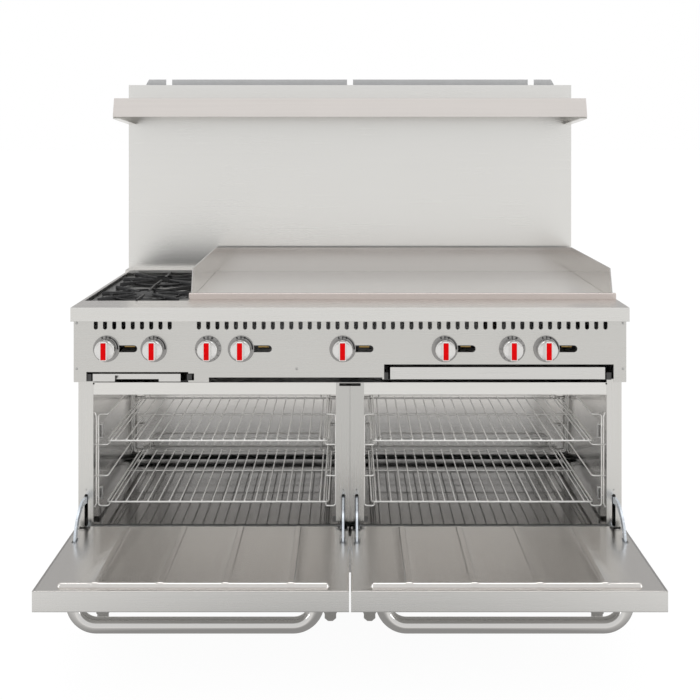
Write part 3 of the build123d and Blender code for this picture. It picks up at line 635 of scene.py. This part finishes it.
# Burner bowls: a stainless pan dropped into the deck, brushed across, with two round bowls pressed
# in it under the open burners. The bowls are coated with black enamel.
def glaze(tree, shader, colour, rough):
    """Glassy fired enamel with a fine orange-peel skin."""
    peel = pattern(tree, (260, 260, 260), 2)
    dust = pattern(tree, (40, 40, 40), 4)
    tint(tree, dust, [c * 0.85 for c in colour], [c * 1.2 for c in colour], shader)
    spread(tree, dust, rough - 0.06, rough + 0.1, shader.inputs["Roughness"])
    relief(tree, peel, 0.00012, shader)
    shader.inputs["Coat Roughness"].default_value = 0.12


def enamel(name, colour, rough):
    """A material of fired enamel all over."""
    finish, tree, shader = new_finish(name)
    glaze(tree, shader, colour, rough)
    shader.inputs["Coat Weight"].default_value = 0.4
    return finish


bowl_radius = 0.129
bowl_finish, bowl_tree, bowl_shader = new_finish("burner pan steel and enamel")
bowl_x, bowl_y, bowl_z = axes(bowl_tree)
distances = []
for place in ("front", "rear"):
    centre = (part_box(f"grate_{place}")[0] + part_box(f"grate_{place}")[1]) / 2
    aside = worked_out(bowl_tree, "SUBTRACT", bowl_x, centre.x)
    along = worked_out(bowl_tree, "SUBTRACT", bowl_y, centre.y)
    squares = [worked_out(bowl_tree, "MULTIPLY", offset, offset) for offset in (aside, along)]
    distances.append(worked_out(bowl_tree, "SQRT", worked_out(bowl_tree, "ADD", *squares)))
nearest_bowl = worked_out(bowl_tree, "MINIMUM", *distances)
in_bowl = worked_out(bowl_tree, "LESS_THAN", nearest_bowl, bowl_radius)
brush(bowl_tree, bowl_shader, (0.25, 0.25, 0.245), "x", 0.34)
pan_skin = skin_of(bowl_shader)
glaze(bowl_tree, bowl_shader, (0.014, 0.014, 0.014), 0.4)
joined(bowl_tree, bowl_shader, in_bowl, pan_skin)
ranged_by(bowl_tree, in_bowl, 1, 0, bowl_shader.inputs["Metallic"])
ranged_by(bowl_tree, in_bowl, 0, 0.4, bowl_shader.inputs["Coat Weight"])
dress(bowl_finish, "burner_bowls")


# Open burners and grates: cast iron. A star head stands in each bowl, and over it a lift-off
# grate has eight fingers, deeper at their tips, joined by a ring underneath.
def bar(shape, start, end, width, lows, highs):
    """A straight cast bar between two places in plan, with its own lower and upper end heights."""
    along = (end - start).normalized()
    aside = Vector((-along.y, along.x)) * width / 2
    top = aside * 0.55
    ends = []
    for place, low, high in zip((start, end), lows, highs):
        lower = [place + aside, place - aside]
        upper = [place - top, place + top]
        points = [(p.x, p.y, low) for p in lower] + [(p.x, p.y, high) for p in upper]
        ends.append([shape.verts.new(point) for point in points])
    shape.faces.new(ends[0])
    shape.faces.new(ends[1][::-1])
    for corner in range(4):
        other = (corner + 1) % 4
        shape.faces.new((ends[0][corner], ends[0][other], ends[1][other], ends[1][corner]))


def hoop(shape, centre, inner, outer, low, high, steps=48):
    """A flat cast ring."""
    rings = []
    for radius, z in ((inner, low), (outer, low), (outer, high), (inner, high)):
        turns = [2 * math.pi * step / steps for step in range(steps)]
        points = [(centre.x + radius * math.cos(a), centre.y + radius * math.sin(a), z) for a in turns]
        rings.append([shape.verts.new(point) for point in points])
    for near, far in zip(rings, rings[1:] + rings[:1]):
        for step in range(steps):
            other = (step + 1) % steps
            shape.faces.new((near[step], near[other], far[other], far[step]))


def cast(piece, voxel, rounds):
    """Fuse overlapping shapes into one casting and round its edges, as sand and grit do."""
    fuse = piece.modifiers.new("fuse", "REMESH")
    fuse.mode = "VOXEL"
    fuse.voxel_size = voxel
    fuse.use_smooth_shade = True
    ease = piece.modifiers.new("ease", "SMOOTH")
    ease.factor = 0.5
    ease.iterations = rounds
    ready = bpy.data.meshes.new_from_object(piece.evaluated_get(bpy.context.evaluated_depsgraph_get()))
    ready.materials.clear()
    ready.materials.append(piece.data.materials[0])
    piece.modifiers.clear()
    piece.data = ready


for place in ("front", "rear"):
    low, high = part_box(f"grate_{place}")
    centre = (low + high) / 2
    straight_x, straight_y = (high.xy - low.xy) / 2
    slant_x, slant_y = straight_x - 0.016, straight_y - 0.023
    tips = [(side * straight_x, 0) for side in (-1, 1)] + [(0, side * straight_y) for side in (-1, 1)]
    tips += [(right * slant_x, back * slant_y) for right in (-1, 1) for back in (-1, 1)]
    shape = bmesh.new()
    hoop(shape, centre, 0.098, 0.105, low.z, low.z + 0.006)
    for tip in tips:
        heading = Vector(tip).normalized()
        root, end = centre.xy + heading * 0.034, centre.xy + Vector(tip)
        bar(shape, root, end, 0.0085, (high.z - 0.006, low.z), (high.z - 0.0015, high.z))
    grate = put(f"cast_grate_{place}", shape, iron, f"grate_{place}", "cast_iron", f"grate_{place}")
    cast(grate, 0.0016, 2)

burner_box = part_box("open_burners")
for place in ("front", "rear"):
    low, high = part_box(f"grate_{place}")
    centre = (low + high) / 2
    shape = bmesh.new()
    head_top = burner_box[1].z
    hoop(shape, centre, 0.002, 0.024, burner_box[0].z, head_top - 0.017)
    hoop(shape, centre, 0.001, 0.03, head_top - 0.018, head_top - 0.004)
    hoop(shape, centre, 0.001, 0.017, head_top - 0.008, head_top)
    for step in range(8):
        heading = Vector((math.cos(step * math.pi / 4), math.sin(step * math.pi / 4)))
        root, tip = centre.xy + heading * 0.012, centre.xy + heading * 0.051
        lows = (head_top - 0.017, head_top - 0.017)
        bar(shape, root, tip, 0.012, lows, (head_top - 0.003, head_top - 0.006))
    burner = put(f"star_burner_{place}", shape, iron, "range_body", "cast_iron", "open_burners")
    cast(burner, 0.0014, 2)

# Griddle: a thick steel plate, ground from side to side, inside a welded stainless guard on three
# sides. A rail and a grease trough cross its front.
ground_plate = brushed_steel("ground griddle steel", (0.93, 0.91, 0.885), "x", 0.34, 0.03, 0.000006)
dress(ground_plate, "griddle_plate")


def sideways(tree):
    """The faces that look left or right."""
    return worked_out(tree, "GREATER_THAN", worked_out(tree, "ABSOLUTE", facing(tree)[0]), 0.7)


# Painted shade: the guard's rear wall is a darker copy of the steel on its sides.
shaded_rear_brushing = ((0.6, 0.585, 0.57), "x", 0.14)
side_brushing = ((0.8, 0.78, 0.755), "y", 0.16)
guard_steel = two_steels("guard steel", sideways, shaded_rear_brushing, side_brushing)
dress(guard_steel, "griddle_splash_guard")
dress(brushed_steel("griddle rail steel", (0.67, 0.605, 0.575), "x", 0.24), "griddle_trough")

# Control panel: one stainless sheet, brushed across, with a row of vents and a hole for each knob.
# It is held by seven domed screws with cross slots.
dress(brushed_steel("panel steel", (0.655, 0.65, 0.63), "x", 0.27, 0.012), "control_panel")


def lathe(shape, outline, centre, steps=64):
    """Turn an outline of (radius, y) about a line along Y; a radius of 0 closes an end."""
    rings = []
    for radius, y in outline:
        turns = [2 * math.pi * step / steps for step in range(steps if radius else 1)]
        points = [(centre.x + radius * math.cos(a), y, centre.z + radius * math.sin(a)) for a in turns]
        rings.append([shape.verts.new(point) for point in points])
    for near, far in zip(rings, rings[1:]):
        for step in range(steps):
            other = (step + 1) % steps
            ring = [near[step % len(near)], near[other % len(near)]]
            ring += [far[other % len(far)], far[step % len(far)]]
            shape.faces.new(list(dict.fromkeys(ring)))


def block(shape, low, high, ease=0.0, segments=3):
    """A box between two corners, with its edges rounded."""
    made = bmesh.ops.create_cube(shape, size=1)
    verts = made["verts"]
    for vert in verts:
        share = vert.co + Vector((0.5, 0.5, 0.5))
        vert.co = Vector([a + (b - a) * s for a, b, s in zip(low, high, share)])
    if ease:
        edges = list(dict.fromkeys(edge for vert in verts for edge in vert.link_edges))
        bmesh.ops.bevel(shape, geom=edges, offset=ease, segments=segments, affect="EDGES", profile=0.5)


panel_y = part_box("control_panel")[0].y
screw_finish = plated_wire("screw steel", (0.42, 0.42, 0.41), 0.3)
low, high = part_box("panel_screws")
screw_places = [(x, z) for x in (-0.754, -0.459, 0.753) for z in (0.740, 0.866)] + [(-0.147, 0.740)]
shape = bmesh.new()
for x, z in screw_places:
    dome = [(0, low.y), (0.0018, low.y + 0.00012), (0.0032, low.y + 0.0007), (0.0039, high.y)]
    lathe(shape, dome + [(0, high.y)], Vector((x, 0, z)), 32)
heads = put("screw_heads", shape, screw_finish, "range_body", "stainless_panel", "panel_screws")
shape = bmesh.new()
for x, z in screw_places:
    for wide, tall in ((0.0022, 0.0004), (0.0004, 0.0022)):
        block(shape, (x - wide, low.y - 0.001, z - tall), (x + wide, low.y + 0.0009, z + tall))
mesh = bpy.data.meshes.new("cross_slots")
shape.to_mesh(mesh)
shape.free()
cross_slots = bpy.data.objects.new("cross_slots", mesh)
scene.collection.objects.link(cross_slots)
cut = heads.modifiers.new("cross", "BOOLEAN")
cut.operation = "DIFFERENCE"
cut.object = cross_slots
cut.solver = "EXACT"
bpy.context.view_layer.update()
cut_mesh = bpy.data.meshes.new_from_object(heads.evaluated_get(bpy.context.evaluated_depsgraph_get()))
heads.modifiers.clear()
heads.data = cut_mesh
bpy.data.objects.remove(cross_slots)

# Dial rings: stamped steel discs behind the knobs, with printed black marks. A burner's marks are
# an off line and a wedge that grows with the flame, and an oven's are lines round the dial.
ring_steel = brushed_steel("dial ring steel", (0.34, 0.335, 0.33), "x", 0.24)
dress(ring_steel, "knob_bezels")
mark_paint, mark_tree, mark_shader = new_finish("dial mark paint")
mark_wear = pattern(mark_tree, (500, 500, 500), 3)
tint(mark_tree, mark_wear, (0.012, 0.012, 0.012), (0.03, 0.03, 0.03), mark_shader)
spread(mark_tree, mark_wear, 0.4, 0.6, mark_shader.inputs["Roughness"])
knobs = [body for body in frame["bodies"] if body.startswith("knob_")]
ring_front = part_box("knob_bezels")[0].y
mark_rise = 0.00015
shape = bmesh.new()


def mark(centre, angle, inner, outer, width):
    """A thin printed line that points outward at an angle, clockwise from the top."""
    heading = Vector((math.sin(angle), math.cos(angle)))
    aside = Vector((heading.y, -heading.x)) * width / 2
    flat = [heading * inner - aside, heading * inner + aside]
    flat += [heading * outer + aside, heading * outer - aside]
    rows = []
    for y in (ring_front + 0.0001, ring_front - mark_rise):
        rows.append([shape.verts.new((centre.x + p.x, y, centre.z + p.y)) for p in flat])
    shape.faces.new(rows[0])
    shape.faces.new(rows[1][::-1])
    for corner in range(4):
        other = (corner + 1) % 4
        shape.faces.new((rows[0][corner], rows[0][other], rows[1][other], rows[1][corner]))


for knob in knobs:
    low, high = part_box(knob)
    centre = (low + high) / 2
    mark(centre, 0, 0.0285, 0.0355, 0.003)
    for side in (-1, 1):
        mark(centre, side * 0.34, 0.0295, 0.0350, 0.0042)
    steps = 11 if "oven" in knob else 24
    sweep = 270 if "oven" in knob else 90
    for step in range(1, steps + 1):
        angle = math.radians(sweep * step / steps)
        if "oven" in knob:
            mark(centre, angle, 0.0295 if step % 2 else 0.031, 0.035, 0.0014)
        else:
            mark(centre, angle, 0.0325 - 0.003 * step / steps, 0.034, 0.0026)
put("dial_marks", shape, mark_paint, "range_body", "dial_steel")

# Knobs: satin die-cast metal. A round skirt carries a tall grip bar, and a red insert is pressed
# into a pocket along the bar.
knob_metal = brushed_steel("satin knob metal", (0.82, 0.815, 0.805), "x", 0.2, 0.02)
insert_red, red_tree, red_shader = new_finish("red insert plastic")
red_cloud = pattern(red_tree, (120, 120, 120), 3)
tint(red_tree, red_cloud, (0.6, 0.0, 0.001), (0.7, 0.0, 0.0015), red_shader)
spread(red_tree, red_cloud, 0.45, 0.6, red_shader.inputs["Roughness"])
red_shader.inputs["Specular IOR Level"].default_value = 0.06
relief(red_tree, pattern(red_tree, (900, 900, 900), 2), 0.00002, red_shader)
for knob in knobs:
    low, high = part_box(knob)
    centre = (low + high) / 2
    skirt_back = low.y + 0.0355
    skirt_front = low.y + 0.0125
    shape = bmesh.new()
    outline = [(0, skirt_back), (0.0262, skirt_back), (0.0272, skirt_back - 0.0008)]
    outline += [(0.0280, skirt_back - 0.003), (0.0279, skirt_front + 0.0035), (0.0273, skirt_front + 0.0014)]
    outline += [(0.0262, skirt_front + 0.0003), (0.0248, skirt_front), (0.0235, skirt_front + 0.0006)]
    outline += [(0.018, skirt_front + 0.0012), (0, skirt_front + 0.0014)]
    lathe(shape, outline, centre)
    shaft_radius, shaft_front = 0.004, skirt_back - 0.001
    shaft = [(0, high.y), (shaft_radius, high.y), (shaft_radius, shaft_front), (0, shaft_front)]
    lathe(shape, shaft, centre, 24)
    bar_low = (centre.x - 0.011, low.y, centre.z - 0.027)
    bar_high = (centre.x + 0.011, skirt_front + 0.003, centre.z + 0.027)
    grip = bmesh.ops.create_cube(shape, size=1)["verts"]
    for vert in grip:
        share = vert.co + Vector((0.5, 0.5, 0.5))
        vert.co = Vector([a + (b - a) * s for a, b, s in zip(bar_low, bar_high, share)])
        if share.y < 0.5:
            vert.co.x = centre.x + (vert.co.x - centre.x) * 0.9
            vert.co.z = centre.z + (vert.co.z - centre.z) * 0.975
    corner_edges = [e for v in grip for e in v.link_edges if abs((e.verts[0].co - e.verts[1].co).y) > 0.005]
    corner_edges = list(dict.fromkeys(corner_edges))
    bmesh.ops.bevel(shape, geom=corner_edges, offset=0.0042, segments=5, affect="EDGES", profile=0.5)
    face = min(shape.faces, key=lambda f: (round(f.calc_center_median().y, 5), -f.calc_area()))
    bmesh.ops.bevel(shape, geom=list(face.edges), offset=0.0014, segments=3, affect="EDGES", profile=0.5)
    face = min(shape.faces, key=lambda f: (round(f.calc_center_median().y, 5), -f.calc_area()))
    bmesh.ops.inset_region(shape, faces=[face], thickness=0.0013)
    pocket = bmesh.ops.extrude_face_region(shape, geom=[face])
    bmesh.ops.translate(
        shape,
        verts=[v for v in pocket["geom"] if isinstance(v, bmesh.types.BMVert)],
        vec=(0, 0.0014, 0),
    )
    bmesh.ops.delete(shape, geom=[face], context="FACES")
    put(f"{knob}_grip", shape, knob_metal, knob, "knob_metal", knob, sharp=28)
    shape = bmesh.new()
    half_wide, half_tall = 0.0072, 0.0231
    insert_low = (centre.x - half_wide, low.y + 0.0001, centre.z - half_tall)
    insert_high = (centre.x + half_wide, low.y + 0.0016, centre.z + half_tall)
    block(shape, insert_low, insert_high, 0.0005)
    put(f"{knob}_insert", shape, insert_red, knob, "knob_metal")


# Gas train: a steel manifold pipe, painted grey, runs behind the panel. Turned brass valves and
# pilots are screwed into it.
def brass(name, colour):
    """Turned brass, lightly dulled."""
    finish, tree, shader = new_finish(name)
    shader.inputs["Metallic"].default_value = 1
    dull = pattern(tree, (90, 90, 90), 4)
    turning = pattern(tree, (60, 900, 60), 2)
    skin = blended(tree, dull, turning, 0.4)
    tint(tree, skin, [c * 0.7 for c in colour], colour, shader)
    spread(tree, skin, 0.22, 0.42, shader.inputs["Roughness"])
    relief(tree, turning, 0.00002, shader)
    return finish


dress(brass("dull brass", (0.72, 0.5, 0.2)), "pilot_valves", "gas_valves")
pipe_paint = enamel("grey pipe paint", (0.045, 0.046, 0.048), 0.45)
dress(pipe_paint, "gas_manifold")

# Trays: a drip tray under the open burners and a wide grease tray under the griddle, both folded
# from stainless sheet. They slide on dark bent runners.
tray_steel = brushed_steel("tray steel", (0.72, 0.715, 0.7), "x", 0.26)
dress(tray_steel, "drip_tray", "grease_tray")
dress(aluminised("dark runner sheet", (0.1, 0.1, 0.1)), "tray_runners")

# Riser and high shelf: stainless sheets brushed across, screwed to the back of the body. The underside of
# the shelf is painted dark and dull, as painted shade that darkens its reflection in the riser.
riser_steel = brushed_steel("riser steel", (0.81, 0.805, 0.785), "x", 0.25, 0.014)
dress(riser_steel, "riser_front", "shelf_brackets")


def downward(tree):
    """The faces that look down."""
    return worked_out(tree, "LESS_THAN", facing(tree)[2], -0.9)


shelf_brushing = ((0.765, 0.725, 0.695), "x", 0.3, 0.02)
# Painted shade: the downward faces of the shelf get a dark, dull copy of the steel.
shaded_underside_brushing = ((0.3, 0.295, 0.29), "x", 0.45)
dress(two_steels("shelf steel", downward, shelf_brushing, shaded_underside_brushing), "high_shelf")

low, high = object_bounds()
